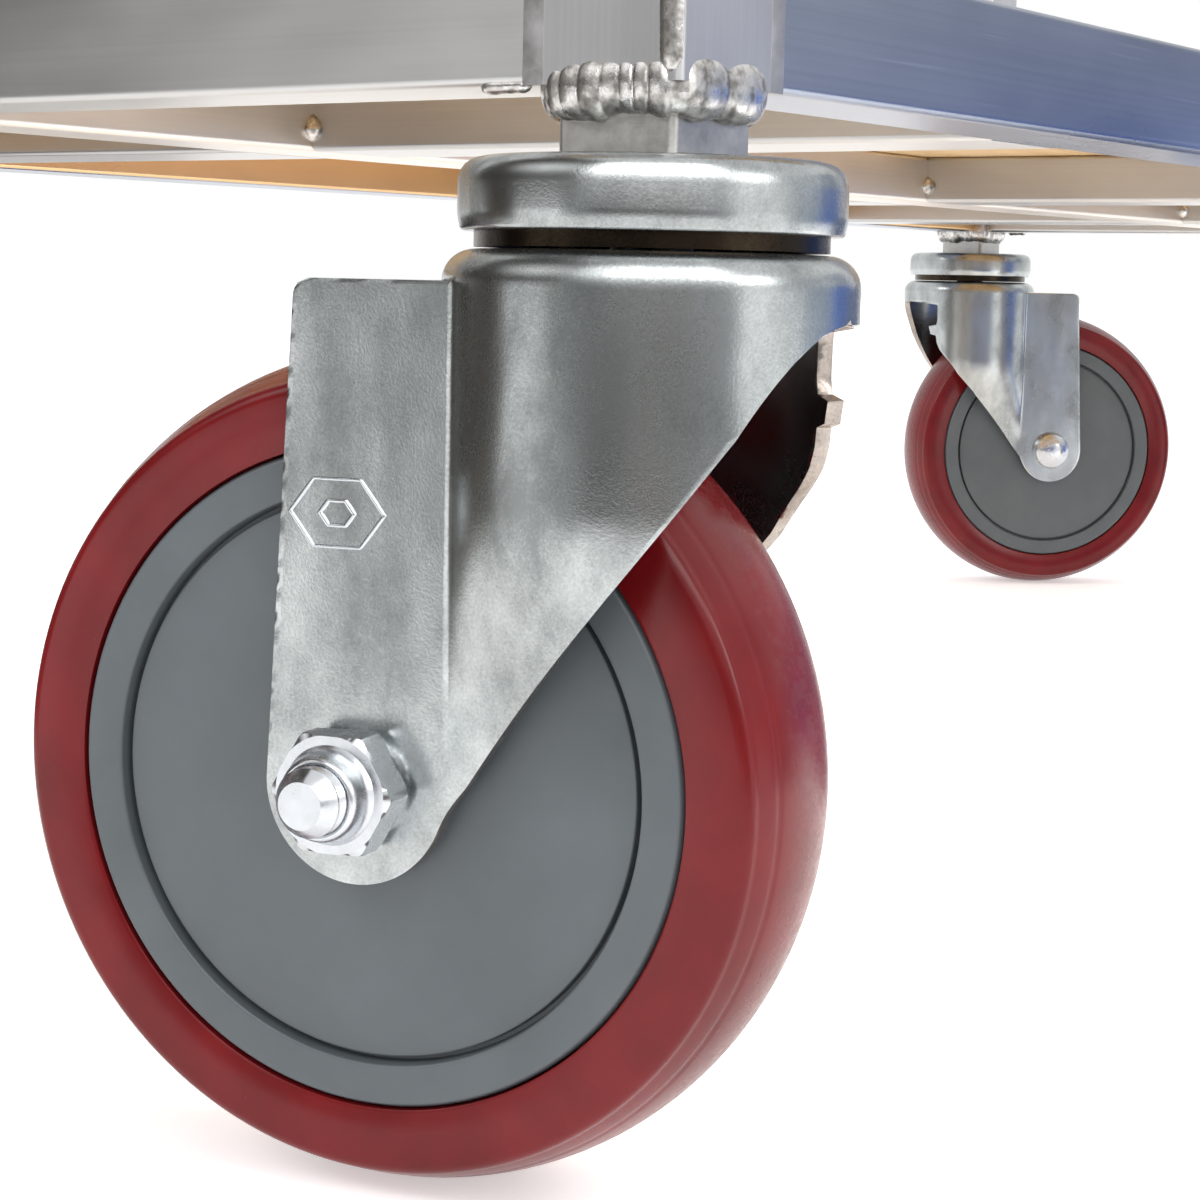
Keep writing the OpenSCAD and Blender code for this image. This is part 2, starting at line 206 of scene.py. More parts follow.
def slab_rings(low_corner, high_corner, corner, edge, steps=4):
    """Rings up a slab with rounded corners in plan and a quarter-round edge at its top and bottom."""
    low_corner = np.asarray(low_corner, float)
    high_corner = np.asarray(high_corner, float)
    size = high_corner - low_corner
    middle = (low_corner + high_corner) / 2
    angle = np.linspace(0, math.pi / 2, steps + 1)
    inset = np.concatenate([edge * (1 - np.sin(angle)), edge * (1 - np.cos(angle))])
    rise = low_corner[2] + edge * (1 - np.cos(angle))
    fall = high_corner[2] - edge * (1 - np.sin(angle))
    height = np.concatenate([rise, fall])
    rings = []
    for cut, z in zip(inset, height):
        flat = rounded_rectangle(size[0] - 2 * cut, size[1] - 2 * cut, max(corner - cut, edge * 0.2))
        rings.append(np.column_stack([flat + middle[:2], np.full(len(flat), z)]))
    return np.array(rings)


def smooth_step(value, start, end):
    """0 before start, 1 after end and 3t^2 - 2t^3 between them."""
    t = np.clip((value - start) / (end - start), 0, 1)
    return t * t * (3 - 2 * t)


# ---------------------------------------------------------------- materials

def colour(code):
    """An sRGB hex code as linear red, green and blue, with full alpha."""
    parts = [int(code[k:k + 2], 16) / 255 for k in (1, 3, 5)]
    linear = [c / 12.92 if c <= 0.04045 else ((c + 0.055) / 1.055) ** 2.4 for c in parts]
    return (*linear, 1.0)


def add(tree, kind, values=None, links=None, **settings):
    """Adds one node, sets its properties and sockets, and links its inputs to the given outputs."""
    node = tree.nodes.new(kind)
    for key, value in settings.items():
        setattr(node, key, value)
    for key, value in (values or {}).items():
        node.inputs[key].default_value = value
    for key, output in (links or {}).items():
        tree.links.new(output, node.inputs[key])
    return node


def ramp(tree, factor, stops):
    """A colour ramp over a factor; stops are (position, hex code)."""
    node = add(tree, "ShaderNodeValToRGB", links={"Fac": factor})
    elements = node.color_ramp.elements
    while len(elements) < len(stops):
        elements.new(0.5)
    for element, (position, code) in zip(elements, stops):
        element.position = position
        element.color = colour(code)
    return node.outputs["Color"]


def new_material(name, **shader_values):
    """An empty material with one Principled shader; constants go straight onto its sockets."""
    material = bpy.data.materials.new(name)
    material.use_nodes = True
    tree = material.node_tree
    shader = tree.nodes["Principled BSDF"]
    for key, value in shader_values.items():
        shader.inputs[key.replace("_", " ")].default_value = value
    return material, tree, shader


def noise(tree, scale_mm, stretch=(1, 1, 1), detail=4.0, roughness=0.55, **values):
    """Noise whose features are scale_mm wide, drawn out along the axes whose stretch is above 1."""
    place = add(tree, "ShaderNodeTexCoord").outputs["Object"]
    size = tuple(1 / (scale_mm * MM * s) for s in stretch)
    mapping = add(tree, "ShaderNodeMapping", {"Scale": size}, {"Vector": place})
    sockets = {"Scale": 1.0, "Detail": detail, "Roughness": roughness, **values}
    return add(tree, "ShaderNodeTexNoise", sockets,
               {"Vector": mapping.outputs["Vector"]}).outputs["Fac"]


def spread(tree, factor, low_value, high_value, start=0.3, end=0.7):
    """Maps a factor between start and end onto a range of values."""
    return add(tree, "ShaderNodeMapRange",
               {"From Min": start, "From Max": end, "To Min": low_value, "To Max": high_value},
               {"Value": factor}).outputs["Result"]


def mixed_colour(tree, factor, first, code):
    """Mixes a colour output with a hex code by a factor."""
    node = add(tree, "ShaderNodeMix", {"B": colour(code)}, {"Factor": factor, "A": first}, data_type="RGBA")
    return node.outputs[2]


def sum_of(tree, first, share, second):
    """first * share + second, as one factor."""
    node = add(tree, "ShaderNodeMath", {1: share}, {0: first, 2: second}, operation="MULTIPLY_ADD")
    return node.outputs["Value"]


def bump(tree, shader, height, distance_mm, strength=1.0):
    """Feeds a height into the shader's normal, at a real depth."""
    sockets = {"Strength": strength, "Distance": distance_mm * MM}
    node = add(tree, "ShaderNodeBump", sockets, {"Height": height})
    tree.links.new(node.outputs["Normal"], shader.inputs["Normal"])


def stretched(axis, factor):
    """Stretch triple that draws a pattern out along one axis."""
    return tuple(factor if k == axis else 1 for k in range(3))


def mill_aluminium(name, axis, dark, light, rough=0.3, inner=None):
    """Mill-finish extruded aluminium: die lines along the tube, cloudy patches and a few long scratches.

    inner is a painted reflection of the plywood: a warm tint on the face that looks along -Y.
    """
    material, tree, shader = new_material(name, Metallic=1.0)
    die_lines = noise(tree, 0.7, stretched(axis, 300), detail=3)
    clouds = noise(tree, 45, stretched(axis, 3), detail=4)
    scratches = noise(tree, 1.3, stretched(axis, 40), detail=1)
    scratch = spread(tree, scratches, 0, 0.3, 0.70, 0.78)
    base = ramp(tree, sum_of(tree, die_lines, 0.2, clouds), ((0.42, dark), (0.78, light)))
    finish = mixed_colour(tree, scratch, base, "#c9cbd2")
    # Painted reflection: the face that looks along -Y is tinted warm, as if it reflected the plywood.
    if inner:
        normal = add(tree, "ShaderNodeTexCoord").outputs["Normal"]
        facing = add(tree, "ShaderNodeSeparateXYZ", links={"Vector": normal}).outputs["Y"]
        finish = mixed_colour(tree, spread(tree, facing, 1.0, 0.0, -0.8, -0.6), finish, inner)
    tree.links.new(finish, shader.inputs["Base Color"])
    tree.links.new(spread(tree, clouds, rough, rough + 0.12), shader.inputs["Roughness"])
    bump(tree, shader, sum_of(tree, scratch, 1.5, die_lines), 0.008, 0.4)
    return material


def satin_aluminium(name, dark, light, grain_mm):
    """Satin aluminium: a cloudy grey with a rough grain, as left by sawing, brushing and welding heat."""
    material, tree, shader = new_material(name, Metallic=1.0)
    clouds = noise(tree, 5, detail=5, roughness=0.65)
    grain = noise(tree, grain_mm, detail=4, roughness=0.6)
    tree.links.new(ramp(tree, clouds, ((0.3, dark), (0.7, light))), shader.inputs["Base Color"])
    tree.links.new(spread(tree, clouds, 0.34, 0.48), shader.inputs["Roughness"])
    bump(tree, shader, grain, 0.07, 0.6)
    return material


def weld_metal():
    """Aluminium weld metal: shiny frozen ripples with a dull grey soot in the hollows."""
    material, tree, shader = new_material("aluminium_weld", Metallic=1.0)
    soot = noise(tree, 2.2, detail=5)
    base = ramp(tree, soot, ((0.34, "#85827e"), (0.52, "#cfccc8"), (0.7, "#e4e3e2")))
    tree.links.new(base, shader.inputs["Base Color"])
    tree.links.new(spread(tree, soot, 0.40, 0.22), shader.inputs["Roughness"])
    bump(tree, shader, noise(tree, 0.9, detail=4), 0.10, 0.6)
    return material


def zinc_plate(name, dark, light):
    """Zinc-plated pressed steel: pale and cloudy, with a fine sparkling grain and shallow press waves."""
    material, tree, shader = new_material(name, Metallic=1.0)
    clouds = noise(tree, 16, (1, 1, 1.6), detail=4, roughness=0.6)
    grain = noise(tree, 0.45, detail=3, roughness=0.7)
    mixed = sum_of(tree, grain, 0.35, clouds)
    tree.links.new(ramp(tree, mixed, ((0.48, dark), (0.86, light))), shader.inputs["Base Color"])
    tree.links.new(spread(tree, mixed, 0.30, 0.20, 0.5, 0.85), shader.inputs["Roughness"])
    waves = noise(tree, 12, (1, 1, 2.5), detail=1)
    bump(tree, shader, sum_of(tree, waves, 14.0, grain), 0.03, 0.7)
    return material


def bright_zinc():
    """Bright zinc plate on machined and sheared steel: nearly a mirror, with faint handling haze."""
    material, tree, shader = new_material("bright_zinc", Metallic=1.0, Base_Color=colour("#cfd2d6"))
    tree.links.new(spread(tree, noise(tree, 3, detail=3), 0.16, 0.32), shader.inputs["Roughness"])
    return material


def plain_steel():
    """Oiled plain steel: dark grey, soft gloss and fine turning marks."""
    material, tree, shader = new_material("oiled_steel", Metallic=1.0)
    base = ramp(tree, noise(tree, 6), ((0.3, "#5d5f62"), (0.7, "#8b8d90")))
    tree.links.new(base, shader.inputs["Base Color"])
    tree.links.new(spread(tree, noise(tree, 1.0, detail=2), 0.3, 0.45), shader.inputs["Roughness"])
    return material


def red_polyurethane():
    """Cast polyurethane tread: deep glossy red, faintly cloudy, with grey dust and scuffs where it rolls."""
    material, tree, shader = new_material("cast_red_polyurethane", IOR=1.38)
    clouds = noise(tree, 18, detail=4)
    rolled = add(tree, "ShaderNodeAttribute", attribute_name="tread").outputs["Fac"]
    grit = spread(tree, noise(tree, 2.2, detail=6, roughness=0.7), 0.1, 0.5, 0.45, 0.75)
    dust = add(tree, "ShaderNodeMath", links={0: rolled, 1: grit}, operation="MULTIPLY").outputs["Value"]
    specks = spread(tree, noise(tree, 1.1, detail=3, roughness=0.7), 0, 0.25, 0.68, 0.8)
    all_dust = add(tree, "ShaderNodeMath", links={0: dust, 1: specks}, operation="MAXIMUM").outputs["Value"]
    base = ramp(tree, clouds, ((0.3, "#5f0c0f"), (0.7, "#731418")))
    tree.links.new(mixed_colour(tree, all_dust, base, "#6a4644"), shader.inputs["Base Color"])
    tree.links.new(spread(tree, all_dust, 0.22, 0.4, 0, 0.5), shader.inputs["Roughness"])
    bump(tree, shader, noise(tree, 6, detail=3), 0.05, 0.5)
    return material


def grey_core_plastic():
    """Moulded polypropylene core: slate grey, satin, with a very fine spark-eroded grain."""
    material, tree, shader = new_material("slate_polypropylene", IOR=1.49)
    clouds = noise(tree, 22, detail=4)
    tree.links.new(ramp(tree, clouds, ((0.3, "#51575b"), (0.7, "#5b6165"))), shader.inputs["Base Color"])
    tree.links.new(spread(tree, clouds, 0.36, 0.48), shader.inputs["Roughness"])
    bump(tree, shader, noise(tree, 0.5, detail=2), 0.03, 0.5)
    return material


def black_plastic():
    """Moulded nylon: near black, satin, with a fine grain."""
    material, tree, shader = new_material("black_nylon", IOR=1.53)
    base = ramp(tree, noise(tree, 8), ((0.3, "#17181a"), (0.7, "#232427")))
    tree.links.new(base, shader.inputs["Base Color"])
    tree.links.new(spread(tree, noise(tree, 3), 0.38, 0.52), shader.inputs["Roughness"])
    bump(tree, shader, noise(tree, 0.6, detail=2), 0.04, 0.5)
    return material


def birch_plywood():
    """Varnished birch plywood: face grain along X with faint figure, and plies of two tones on the edges."""
    ply_pair = 2.8 * MM
    material, tree, shader = new_material("varnished_birch_plywood", IOR=1.5, Coat_Weight=0.25,
                                          Coat_Roughness=0.25)
    figure = noise(tree, 14, (14, 1, 1), detail=5, Distortion=0.6)
    pores = noise(tree, 0.8, (25, 1, 1), detail=3)
    face = ramp(tree, figure, ((0.30, "#b98f5c"), (0.50, "#cda873"), (0.70, "#d8b888")))
    pored = mixed_colour(tree, spread(tree, pores, 0, 0.45, 0.62, 0.75), face, "#8f6a3f")
    place = add(tree, "ShaderNodeTexCoord").outputs["Object"]
    height = add(tree, "ShaderNodeSeparateXYZ", links={"Vector": place}).outputs["Z"]
    ply = add(tree, "ShaderNodeMath", {1: TAU / ply_pair}, {0: height}, operation="MULTIPLY")
    wave = add(tree, "ShaderNodeMath", links={0: ply.outputs["Value"]}, operation="SINE").outputs["Value"]
    edge = ramp(tree, wave, ((0.1, "#8a6238"), (0.5, "#d2ae7c")))
    normal = add(tree, "ShaderNodeNewGeometry").outputs["Normal"]
    up = add(tree, "ShaderNodeSeparateXYZ", links={"Vector": normal}).outputs["Z"]
    flat = add(tree, "ShaderNodeMath", links={0: up}, operation="ABSOLUTE").outputs["Value"]
    is_face = spread(tree, flat, 0, 1, 0.6, 0.8)
    both = add(tree, "ShaderNodeMix", links={"Factor": is_face, "A": edge, "B": pored},
               data_type="RGBA")
    tree.links.new(both.outputs[2], shader.inputs["Base Color"])
    tree.links.new(spread(tree, figure, 0.42, 0.55), shader.inputs["Roughness"])
    bump(tree, shader, pores, 0.08, 0.4)
    return material


# Lit and shaded copies of one mill aluminium: each member's tone is painted light and shade. The lengthwise
# tubes get a darker blue-grey as painted shade and a painted blue reflection. The crosswise tubes and posts
# get paler greys as painted light. The middle bar gets a pale warm tone as painted light and a painted
# reflection of the plywood.
TUBE_X_PAINTED_SHADE = mill_aluminium("mill_aluminium_lengthwise_painted_shade", 0, "#868c9b", "#a1a7b3", 0.24)
TUBE_Y_PAINTED_LIGHT = mill_aluminium("mill_aluminium_crosswise_painted_light", 1, "#bcbdbe", "#d3d3d2", 0.30)
TUBE_Z_PAINTED_LIGHT = mill_aluminium("mill_aluminium_upright_painted_light", 2, "#b0afaf", "#cbcbce", 0.32)
TUBE_MID_PAINTED_WARM_LIGHT = mill_aluminium("mill_aluminium_middle_painted_warm_light", 0, "#d9d4ce", "#ebe6e0", 0.34)
# Same tones as the lengthwise tubes, plus a painted warm reflection of the plywood on the face that looks
# along -Y.
TUBE_PAINTED_PLY_REFLECTION = mill_aluminium("mill_aluminium_painted_ply_reflection", 0, "#868c9b", "#a1a7b3", 0.24, "#efc794")
GROUND = satin_aluminium("ground_aluminium", "#9b9998", "#bab9ba", 0.6)
STUB = satin_aluminium("satin_aluminium_bar", "#a4a29e", "#cbc9c6", 0.7)
WELD = weld_metal()
ZINC = zinc_plate("zinc_plated_pressing", "#868a8a", "#c6caca")
SHEARED = zinc_plate("zinc_plated_sheared_edge", "#8d827a", "#c4bab2")
# Near-black zinc for the dust lips: part grease, part painted shade for the gap between cap and crown.
GREASE_AND_PAINTED_SHADE = zinc_plate("greasy_zinc_painted_shade", "#1d1813", "#453b30")
BRIGHT = bright_zinc()
STEEL = plain_steel()
RED = red_polyurethane()
CORE = grey_core_plastic()
NYLON = black_plastic()
PLY = birch_plywood()


def dress(material, *nodes):
    """Gives a material to frame nodes that keep their own shape."""
    for node in nodes:
        mesh = frame["nodes"][node].data
        mesh.materials.clear()
        mesh.materials.append(material)


dress(TUBE_Z_PAINTED_LIGHT, *[f"post_{i}" for i in CORNERS])
dress(TUBE_X_PAINTED_SHADE, "side_rail_right", "deck_rail_right", "deck_rail_left")
dress(TUBE_MID_PAINTED_WARM_LIGHT, "middle_bar")
# The left side rail's inner face carries a painted reflection of the plywood.
dress(TUBE_PAINTED_PLY_REFLECTION, "side_rail_left")
dress(TUBE_Y_PAINTED_LIGHT, "end_rail_front", "end_rail_rear", "cross_bar_front", "cross_bar_middle", "cross_bar_rear",
      "rungs_front", "rungs_rear", "deck_ends", "deck_joists")
dress(STUB, "caster_stubs")
dress(STEEL, "kingpins", "bearing_balls", "base_screws", "pin_housings", "deck_rivets",
      *[f"pull_pin_{i}" for i in CORNERS])
dress(PLY, "base_deck")
dress(ZINC, "deck_sleeves")


# ---------------------------------------------------------------- casters

FOLD = math.sqrt(CROWN_R ** 2 - FORK_OUT ** 2)
SHOULDER = 4.6 * MM
FLANGE_TOP = CROWN_TOP - SHOULDER
FLAT_COLUMNS = 30
FOOT_R = 14.5 * MM
FOLD_ANGLE = math.pi - math.asin(FORK_OUT / CROWN_R)
OPENING_TOP = 131.5 * MM


def front_edge(height, fold_at):
    """Front edge of a fork leg, as distance behind the axis: a slanting line with a slight S in it."""
    start_z = 58 * MM
    start_back = 22.4 * MM
    sway = 1.1 * MM
    share = np.clip((height - start_z) / (fold_at - start_z), 0, 1)
    return start_back * (1 - share) - FOLD * share + sway * np.sin(TAU * share)


def opening_edge(height, low_z, side):
    """Angle at which the barrel ends, from the fold round to dead ahead.

    The nut side closes as a power of the height left to go. The other side opens by the root of the height
    gained and closes quickly under the shoulder.
    """
    rise = np.clip((height - low_z) / (OPENING_TOP - low_z), 0, 1)
    closed = 1 - (1 - rise) ** 0.45
    if side < 0:
        slow = 0.28 * np.sqrt(rise)
        closed = slow + (1 - slow) * smooth_step(rise, 0.95, 1.0)
    return FOLD_ANGLE + (math.pi - FOLD_ANGLE) * closed


def leg_sheet(side, ragged):
    """One side of the fork as level slices.

    Each slice runs forward along the flat leg to the fold, then over the barrel, which swells from the leg's
    plane to a circle about the swivel axis and fades out downwards, and round that circle to the slanting
    opening. ragged roughens the sheared front edge by small smooth steps.
    """
    lean = 4 * MM
    corner = 2.5 * MM
    swell_from = 60 * MM
    swell_full = 106 * MM
    ragged_from = 90 * MM
    foot = np.linspace(0, math.pi / 2, 20)
    heights = np.concatenate([WHEEL_R - FOOT_R * np.cos(foot), np.linspace(WHEEL_R, FLANGE_TOP, 104)[1:]])
    half = np.sqrt(np.maximum(FOOT_R ** 2 - np.minimum(heights - WHEEL_R, 0) ** 2, 0))
    rear = TRAIL + half - (heights > WHEEL_R) * (heights - WHEEL_R) / (FLANGE_TOP - WHEEL_R) * lean
    opening_low = (116.0 if side > 0 else 112.5) * MM
    over = np.clip((heights - (FLANGE_TOP - corner)) / corner, 0, 1)
    rear = rear - corner * (1 - np.sqrt(1 - over ** 2))
    blend = smooth_step(heights, WHEEL_R - 8 * MM, WHEEL_R + 2 * MM)
    front = (TRAIL - half) * (1 - blend) + front_edge(heights, opening_low) * blend
    steps = np.random.default_rng(5).uniform(-1, 1, 18)
    step_at = np.linspace(88 * MM, 134 * MM, len(steps))
    jitter = ragged * np.interp(heights, step_at, steps) * (heights > ragged_from)
    front = np.clip(front + jitter, -FOLD, None)
    at_fold = np.maximum(front, FOLD)
    flat = np.linspace(0, 1, FLAT_COLUMNS)[None, :]
    over_barrel = np.linspace(0, 1, 44)[None, 1:]
    back_flat = rear[:, None] * (1 - flat) + at_fold[:, None] * flat
    back_barrel = at_fold[:, None] * (1 - over_barrel) + np.minimum(front, at_fold)[:, None] * over_barrel
    back = np.concatenate([back_flat, back_barrel], 1)
    z = np.repeat(heights[:, None], back.shape[1], 1)
    circle = np.sqrt(np.maximum(CROWN_R ** 2 - back ** 2, FORK_OUT ** 2)) - FORK_OUT
    swell = circle * smooth_step(z, swell_from, swell_full)
    walls = np.stack([back, side * (FORK_OUT + swell), z], -1)
    free = (heights > opening_low) * (heights < OPENING_TOP - 1 * MM)
    reach = opening_edge(heights, opening_low, side) + free * jitter / CROWN_R
    turn = FOLD_ANGLE + np.maximum(reach - FOLD_ANGLE, 0)[:, None] * np.linspace(0, 1, 22)[None, 1:]
    round_z = np.repeat(heights[:, None], turn.shape[1], 1)
    nose = np.stack([CROWN_R * np.cos(turn), side * CROWN_R * np.sin(turn), round_z], -1)
    on_barrel = (front <= -FOLD + 1e-6)[:, None, None]
    nose = np.where(on_barrel, nose, walls[:, -1:])
    return np.concatenate([walls, nose], 1)


def make_fork(i):
    """The pressed fork, one sheet: a crown plate, an elliptical shoulder, the barrel and two mirrored legs.

    Shoulder rings are the barrel's top ring drawn in by a cosine while they rise by a sine.
    """
    body = f"swivel_{i}"
    shoulder_in = 4.8 * MM
    hole_r = 6.2 * MM
    turn = np.linspace(0, math.pi / 2, 10)
    draw_in = np.append(1 - shoulder_in * (1 - np.cos(turn)) / CROWN_R, hole_r / CROWN_R)
    rise = np.append(SHOULDER * np.sin(turn), SHOULDER)
    half = math.asin(FORK_OUT / CROWN_R)
    rear = np.linspace(-half, half, 40)
    grids = []
    for side, ragged in ((1, 0.0), (-1, 0.45 * MM)):
        sheet = leg_sheet(side, ragged)
        grids += [(sheet, side), (None, side, sheet[-1, FLAT_COLUMNS - 1:])]
    grids.append((None, 1, CROWN_R * np.stack([np.cos(rear), np.sin(rear), 0 * rear], -1)))
    verts = []
    faces = []
    start = 0
    for grid, side, *ring in grids:
        if grid is None:
            grid = ring[0][None] * draw_in[:, None, None]
            grid[..., 2] = FLANGE_TOP + rise[:, None]
        rows, columns = grid.shape[:2]
        quads = strip_faces(rows, columns, wrap_columns=False, start=start)
        faces += quads if side > 0 else [q[::-1] for q in quads]
        verts.append(in_caster(i, grid.reshape(-1, 3)))
        start += rows * columns
    plate = make_piece(f"fork_plate_{i}", np.concatenate(verts), faces, ZINC, body, "zinc_steel",
                       closed=False, smooth_angle=60)
    plate.data.materials.append(SHEARED)
    thick = plate.modifiers.new("plate", "SOLIDIFY")
    thick.thickness = FORK_T
    thick.offset = -1
    thick.material_offset_rim = 1
    soften = plate.modifiers.new("edge", "BEVEL")
    soften.width = 0.3 * MM
    soften.segments = 2
    soften.limit_method = "ANGLE"
    soften.angle_limit = math.radians(60)
    bore = 6.3 * MM
    race_r = 24 * MM
    under = CROWN_TOP - FORK_T
    race = [(bore, CROWN_LOW), (race_r - 2 * MM, CROWN_LOW), (race_r, CROWN_LOW + 1.5 * MM), (race_r, under),
            (bore, under)]
    race = rounded(race, [1 * MM, 1 * MM, 0.5 * MM], steps=4)
    centre = np.append(corner_xy(i), 0.0)
    skin(f"fork_race_{i}", turned(race, centre, (0, 0, 1), 96), STEEL, body, "plain_steel", loop=True)
    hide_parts(f"fork_{i}")


def make_emboss(i):
    """Plain raised hexagon ring with a small hexagon in it, flattened in height, on the nut-side leg."""
    middle_back = 39 * MM
    middle_z = 103 * MM
    flatten = 0.74
    stand_off = 0.40 * MM
    sunk = 0.05 * MM
    angle = np.linspace(0, TAU, 96, endpoint=False)
    hexagon = 1 / np.cos((angle % (TAU / 6)) - TAU / 12)
    parts = []
    for size, width in ((6.6 * MM, 0.42 * MM), (2.4 * MM, 0.5 * MM)):
        cross = np.linspace(0, math.pi, 7)
        radius = size * hexagon[None, :] + width * np.cos(cross)[:, None]
        out = FORK_OUT - sunk + stand_off * np.sin(cross)[:, None] + 0 * radius
        back = middle_back + radius * np.cos(angle)
        ring = np.stack([back, out, middle_z + flatten * radius * np.sin(angle)], -1)
        parts.append(in_caster(i, ring))
    skins(f"fork_emboss_{i}", parts, BRIGHT, f"swivel_{i}", "zinc_steel")


def about_axle(i, profile, segments=128):
    """Rings of a (radius, side) profile turned about a caster's axle."""
    joint = JOINTS[f"wheel_spin_{i}"]
    return turned(profile, joint["pos_m"], joint["axis"], segments)


def make_tyre(i):
    """Tread section turned about the axle: flat flanks, rounded shoulders and a crown in a circle's arc.

    Two shallow seams run round the crown; each is a bell curve across the tread.
    """
    crown_r = 30.72 * MM
    shoulder_w = 1.8 * MM
    shoulder_h = 2.2 * MM
    seam_at = 11 * MM
    seam_w = 0.35 * MM
    seam_depth = 0.15 * MM
    worn_h = 1.8 * MM
    side = np.linspace(-TYRE_HALF + shoulder_w, TYRE_HALF - shoulder_w, 61)
    tread = WHEEL_R - crown_r + np.sqrt(crown_r ** 2 - side ** 2)
    seam = seam_depth * np.exp(-((np.abs(side) - seam_at) / seam_w) ** 2)
    shoulder = np.linspace(0, math.pi / 2, 7)[:-1]
    flank = np.column_stack([tread[0] - shoulder_h * (1 - np.sin(shoulder)),
                             -TYRE_HALF + shoulder_w * (1 - np.cos(shoulder))])
    inner = np.array([(CORE_R + 0.2 * MM, -TYRE_HALF + 1.6 * MM), (CORE_R + 0.3 * MM, -TYRE_HALF + 0.3 * MM),
                      (CORE_R + 0.8 * MM, -TYRE_HALF)])
    half = np.concatenate([inner, flank])
    mirrored = half[::-1] * (1, -1)
    profile = np.concatenate([half, np.column_stack([tread - seam, side]), mirrored])
    profile[:, 0] = np.minimum(profile[:, 0], WHEEL_R)
    piece = skin(f"tread_{i}", about_axle(i, profile, 160), RED, f"wheel_{i}", "red_polyurethane", loop=True)
    co = np.zeros(len(piece.data.vertices) * 3, np.float32)
    piece.data.vertices.foreach_get("co", co)
    joint = JOINTS[f"wheel_spin_{i}"]
    from_axle = co.reshape(-1, 3) - np.array(joint["pos_m"])
    along = from_axle @ np.array(joint["axis"])
    radius = np.sqrt(np.maximum((from_axle ** 2).sum(1) - along ** 2, 0))
    worn = piece.data.attributes.new("tread", "FLOAT", "POINT")
    amount = smooth_step(radius, WHEEL_R - worn_h, WHEEL_R - 0.2 * MM)
    worn.data.foreach_set("value", amount.astype(np.float32))
    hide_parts(f"tyre_{i}")


def make_core(i):
    """Wheel core turned about the axle: hub, domed cover, moulded groove and rim ring on each face."""
    face = np.array([(5.06, 18.3), (11.8, 18.3), (13.0, 16.2), (24.0, 16.2), (41.7, 15.3), (41.9, 13.4),
                     (42.6, 13.4), (42.8, 16.5), (48.6, 16.7), (49.2, 15.6)]) * MM
    outer = rounded(face, np.array([0.4, 1, 8, 0.3, 0.1, 0.1, 0.5, 0.4]) * MM, steps=4)
    profile = np.concatenate([outer, outer[::-1] * (1, -1)])
    piece = skin(f"core_{i}", about_axle(i, profile, 160), CORE, f"wheel_{i}", "grey_core", loop=True)
    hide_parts(f"wheel_core_{i}")


def make_nut(i):
    """Lock nut: hexagon sides cut by a cone at each end, and a crimped ring that holds the nylon insert."""
    flats = 17 * MM / 2
    washer_face_r = 8.4 * MM
    tall = 7.5 * MM
    cone_slope = 1.9
    joint = JOINTS[f"wheel_spin_{i}"]
    axle = np.array(joint["axis"])
    rows = np.array([0.0, 0.0, 0.5, 1.1, 1.4, 2.0, 6.4, 7.0, 7.5, 7.5]) * MM
    inner = AXLE_R + 0.1 * MM
    angle = np.linspace(0, TAU, 120, endpoint=False)
    hexagon = flats / np.cos((angle % (TAU / 6)) - TAU / 12)
    cone = flats + np.minimum(tall - rows, rows - 1.0 * MM)[:, None] * cone_slope + 0.15 * MM
    radius = np.minimum(hexagon[None, :], np.maximum(cone, flats * 0.95))
    radius[0] = inner
    radius[1:4] = washer_face_r
    radius[9] = inner
    unit = turned([(1.0, 0.0)], (0, 0, 0), joint["axis"], 120)[0]
    middle = np.array(joint["pos_m"]) + (FORK_OUT + rows)[:, None, None] * axle
    rings = middle + radius[..., None] * unit[None]
    nut = skin(f"lock_nut_{i}", rings, BRIGHT, f"swivel_{i}", "zinc_bright", loop=True, smooth_angle=25)
    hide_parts(f"axle_nut_{i}")
    ring = np.array([(5.1, 7.3), (7.4, 7.3), (6.6, 8.4), (6.2, 10.8), (5.6, 11.6), (5.1, 11.4)]) * MM
    ring = rounded(ring, np.array([0.2, 0.6, 0.8, 0.8]) * MM, steps=5)
    rings = about_axle(i, ring + (0, FORK_OUT), 72)
    skin(f"lock_ring_{i}", rings, BRIGHT, f"swivel_{i}", "zinc_bright", loop=True)


def make_bolt(i):
    """Axle bolt: low domed head, plain shank, threads as ridges inside the nut and a chamfered end."""
    end = FORK_OUT + 16.0 * MM
    half_pitch = 0.5 * MM
    thread_depth = 0.3 * MM
    chamfer = 1.5 * MM
    threads = np.arange(FORK_OUT + 0.5 * MM, end - 2.4 * MM, half_pitch)
    ridge = AXLE_R - thread_depth * (np.arange(len(threads)) % 2)
    head = np.array([(0.0, -5.0), (3.0, -4.9), (5.6, -4.2), (7.6, -2.9), (8.5, -1.0), (8.5, 0.0),
                     (5.0, 0.0)]) * MM
    profile = [(r, h - FORK_OUT) for r, h in head]
    profile += list(zip(ridge, threads))
    profile += [(AXLE_R, end - 2.2 * MM), (AXLE_R - chamfer, end - 0.1 * MM),
                (AXLE_R - chamfer - 0.1 * MM, end), (0.0, end)]
    rings = about_axle(i, profile, 64)
    bolt = skin(f"bolt_{i}", rings, BRIGHT, f"swivel_{i}", "plain_steel", smooth_angle=18)
    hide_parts(f"axle_bolt_{i}")


